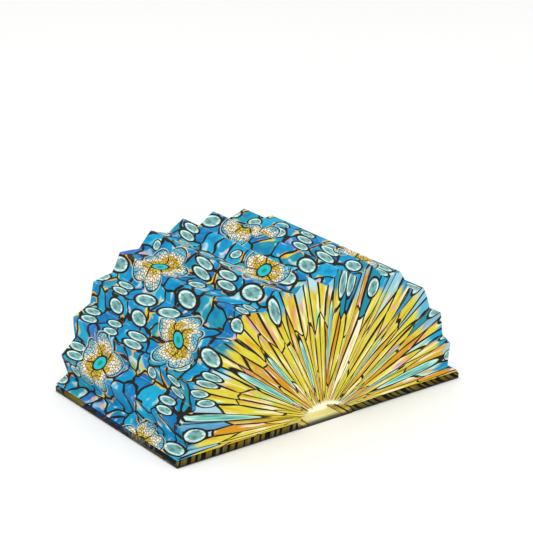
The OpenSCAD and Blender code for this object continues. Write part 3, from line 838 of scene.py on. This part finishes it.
def build_joint(side, material):
    """The bent paper between the spine and one board, with ends that roll down to the table."""
    spine_side, board_side = SPINE_EDGE + 0.02 * MM, BOARD_START + 0.3 * MM
    across = np.linspace(0, 1, 15)
    # It leaves the spine level, dips to a shallow groove and climbs to the board's edge.
    dip, climb = 0.6 * MM, 0.9 * MM
    heights = SPINE_TOP - dip * np.sin(math.pi * across) + climb * across**3
    roll = SPINE_TOP
    ends = COVER_END - roll * (1 - np.sin(np.linspace(math.pi / 2, 0, 7)))
    spans = np.linspace(-ends[-1], ends[-1], 25)[1:-1]
    alongs = np.concatenate([-ends, spans, ends[::-1]])
    over = np.clip((np.abs(alongs) - (COVER_END - roll)) / roll, 0, 1)
    drop = np.sqrt(1 - over**2)
    top = np.array([[(side * (spine_side + (board_side - spine_side) * a), y,
                      max(h * d, 0.05 * MM)) for a, h in zip(across, heights)]
                    for y, d in zip(alongs, drop)])
    prints = np.array([[(a * (board_side - spine_side) / MM, y / MM) for a in across]
                       for y in alongs])
    name = "joint_paper_right" if side > 0 else "joint_paper_left"
    mesh = sheet_mesh(name, top[:, ::side], prints[:, ::side])
    if mesh.polygons[len(mesh.polygons) // 2].normal.z < 0:
        mesh.flip_normals()
    piece = link_piece(name, mesh, [material])
    shaped = bmesh.new()
    shaped.from_mesh(mesh)
    grown = bmesh.ops.extrude_face_region(shaped, geom=shaped.faces[:])
    for item in grown["geom"]:
        if isinstance(item, bmesh.types.BMVert):
            item.co.z = 0.02 * MM
    bmesh.ops.recalc_face_normals(shaped, faces=shaped.faces[:])
    shaped.to_mesh(mesh)
    shaped.free()
    mesh.set_sharp_from_angle(angle=math.radians(50))
    body = "right_cover" if side > 0 else "left_cover"
    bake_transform(piece, "spine", body, (side * SPINE_EDGE, 0, 0),
             (side * (HINGE_X + 2.4 * MM), 0, 0))
    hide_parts("joint_right" if side > 0 else "joint_left")
    return piece


# ---- the stage ----


def build_camera(stage):
    """The photograph's view: a long lens, looking down at the near end of the spine."""
    a, e, lean = stage.azimuth, stage.elevation, stage.roll
    back = Vector((math.sin(a) * math.cos(e), -math.cos(a) * math.cos(e), math.sin(e)))
    level = Vector((math.cos(a), math.sin(a), 0))
    upright = level.cross(-back)
    right = level * math.cos(lean) + upright * math.sin(lean)
    up = upright * math.cos(lean) - level * math.sin(lean)
    target = Vector((3.7, -0.8, 71.9)) * MM  # the middle of the view, high on the shade
    data = bpy.data.cameras.new("camera")
    data.lens = stage.lens
    data.sensor_width = 36
    data.clip_start, data.clip_end = 0.01, 20
    camera = bpy.data.objects.new("camera", data)
    axes = Matrix((right, up, back)).transposed().to_4x4()
    camera.matrix_world = Matrix.Translation(target + back * stage.distance) @ axes
    bpy.context.scene.collection.objects.link(camera)
    bpy.context.scene.camera = camera


def studio_floor(stage):
    """Matt pale sheet, without grain that would show at this scale."""
    material, node = start_material("studio_floor")
    where = node(COORDINATES).outputs["Object"]
    cloud = node(NOISE, {"Vector": where, "Scale": 3.0, "Detail": 2.0}, noise_dimensions="3D")
    base = np.array(stage.floor[:])
    colour = node(RAMP, [cloud], stops=[(0.3, base * 0.985), (0.7, base)])
    end_material(node, {"Base Color": colour, "Roughness": 0.9})
    return material


def build_stage(stage):
    """Camera, pale floor, soft all-round light, a large lamp high on the left and a weak one low
    in front of it."""
    build_camera(stage)
    mesh = bpy.data.meshes.new("studio_floor")
    shaped = bmesh.new()
    bmesh.ops.create_grid(shaped, x_segments=8, y_segments=8, size=6.0)
    shaped.to_mesh(mesh)
    shaped.free()
    floor = link_piece("studio_floor", mesh, [studio_floor(stage)])
    floor.location.z = -0.02 * MM
    world = bpy.data.worlds.new("studio")
    world.use_nodes = True
    light = world.node_tree.nodes["Background"]
    light.inputs["Color"].default_value = [1.0, 1.0, 1.0, 1.0]
    light.inputs["Strength"].default_value = stage.ambient
    bpy.context.scene.world = world
    middle = Vector((0, 0, 0.04))  # of the lamp that both lights point at
    for name, place, size, power in (("key_lamp", (-0.4, -0.3, 2.0), 1.6, stage.key),
                                     ("fill_lamp", (-1.0, -1.6, 0.9), 1.2, stage.key * 0.2)):
        data = bpy.data.lights.new(name, "AREA")
        data.size = size
        data.energy = power
        lamp = bpy.data.objects.new(name, data)
        lamp.location = place
        lamp.rotation_euler = (Vector(place) - middle).to_track_quat("Z", "Y").to_euler()
        bpy.context.scene.collection.objects.link(lamp)
    bpy.context.scene.view_settings.view_transform = "Standard"


# ---- operators, panel and registration ----


class BOOKLAMP_OT_stage(bpy.types.Operator):
    """Add the camera, floor and lights"""

    bl_idname = "booklamp.stage"
    bl_label = "Stage"

    def execute(self, context):
        build_stage(context.scene.booklamp_stage)
        return {"FINISHED"}


class BOOKLAMP_OT_shade(bpy.types.Operator):
    """Fold the printed paper shade in two halves that meet over the spine"""

    bl_idname = "booklamp.shade"
    bl_label = "Pleated shade"

    def execute(self, context):
        shade = context.scene.booklamp_shade
        materials = [printed_shade_paper(print_tree(context), shade), plain_shade_paper()]
        for side in (1, -1):
            build_half_shade(side, shade, materials)
        return {"FINISHED"}


class BOOKLAMP_OT_covers(bpy.types.Operator):
    """Finish the covers: printed wrap, grey board, endpaper and magnets"""

    bl_idname = "booklamp.covers"
    bl_label = "Covers"

    def execute(self, context):
        wrap = printed_book_cloth(print_tree(context))
        dress(["wrap_right", "wrap_left"], wrap)
        dress(["board_right", "board_left", "spine_card"],
              fibrous("grey_board", "8C8068", "B0A488", 1.2 * MM, 0.9, 0.1 * MM))
        dress(["liner_right", "liner_left"],
              fibrous("endpaper", "D8C27A", "EBDDA6", 5 * MM, 0.7, 0.02 * MM))
        dress(["magnets_right", "magnets_left"],
              moulded_plastic("nickel_plated_magnet", "B8BCC4", 0.25, metallic=1.0))
        return {"FINISHED"}


class BOOKLAMP_OT_joints(bpy.types.Operator):
    """Shape the bent paper joints and finish the spine"""

    bl_idname = "booklamp.joints"
    bl_label = "Spine and joints"

    def execute(self, context):
        material = printed_joint_paper()
        for side in (1, -1):
            build_joint(side, material)
        dress(["spine_wrap"], printed_spine_paper())
        return {"FINISHED"}


class BOOKLAMP_OT_light_bar(bpy.types.Operator):
    """Finish the light bar and what it holds"""

    bl_idname = "booklamp.light_bar"
    bl_label = "Light bar"

    def execute(self, context):
        dress(["diffuser", "end_cap_near", "end_cap_far"], frosted_acrylic())
        dress(["bar_tray"], moulded_plastic("moulded_abs_tray", "F2EFE6", 0.5))
        dress(["led_board"], moulded_plastic("white_solder_mask", "E8ECE8", 0.35))
        dress(["led_chips"], moulded_plastic("led_phosphor", "F6E27A", 0.4, glow=0.6))
        dress(["board_screws", "charge_socket"],
              moulded_plastic("nickel_plated_steel", "C8C8CC", 0.3, metallic=1.0))
        dress(["battery"], moulded_plastic("aluminium_pouch", "8A8F98", 0.45, metallic=1.0))
        dress(["charge_board"], moulded_plastic("green_solder_mask", "1F6B3A", 0.35))
        dress(["reed_switch"], moulded_plastic("reed_glass", "7FB0A0", 0.1))
        dress(["power_leads"], moulded_plastic("silicone_sleeve", "B03A2E", 0.6))
        return {"FINISHED"}


class BOOKLAMP_PT_panel(bpy.types.Panel):
    """The lamp's steps in the 3D view's sidebar"""

    bl_label = "Folding book lamp"
    bl_idname = "BOOKLAMP_PT_panel"
    bl_space_type = "VIEW_3D"
    bl_region_type = "UI"
    bl_category = "Book Lamp"

    def draw(self, context):
        for step in STEPS:
            self.layout.operator(step.bl_idname)
        for name in SETTINGS:
            group = getattr(context.scene, name)
            for key in group.bl_rna.properties.keys():
                if key not in ("rna_type", "name"):
                    self.layout.prop(group, key)


STEPS = (BOOKLAMP_OT_stage, BOOKLAMP_OT_shade, BOOKLAMP_OT_covers, BOOKLAMP_OT_joints,
         BOOKLAMP_OT_light_bar)
SETTINGS = {"booklamp_stage": StageSettings, "booklamp_shade": ShadeSettings,
            "booklamp_print": PrintSettings}


def print_tree(context):
    """The print's node group, made once."""
    made = bpy.data.node_groups.get("leaded_glass_print")
    return made or leaded_print(context.scene.booklamp_print)


def register():
    for kind in (*SETTINGS.values(), *STEPS, BOOKLAMP_PT_panel):
        bpy.utils.register_class(kind)
    for name, kind in SETTINGS.items():
        setattr(bpy.types.Scene, name, PointerProperty(type=kind))


def unregister():
    for name in SETTINGS:
        delattr(bpy.types.Scene, name)
    for kind in (BOOKLAMP_PT_panel, *reversed(STEPS), *SETTINGS.values()):
        bpy.utils.unregister_class(kind)


def main():
    """Builds every step."""
    register()
    bpy.ops.booklamp.stage()
    bpy.ops.booklamp.shade()
    bpy.ops.booklamp.covers()
    bpy.ops.booklamp.joints()
    bpy.ops.booklamp.light_bar()


if __name__ == "__main__":
    main()
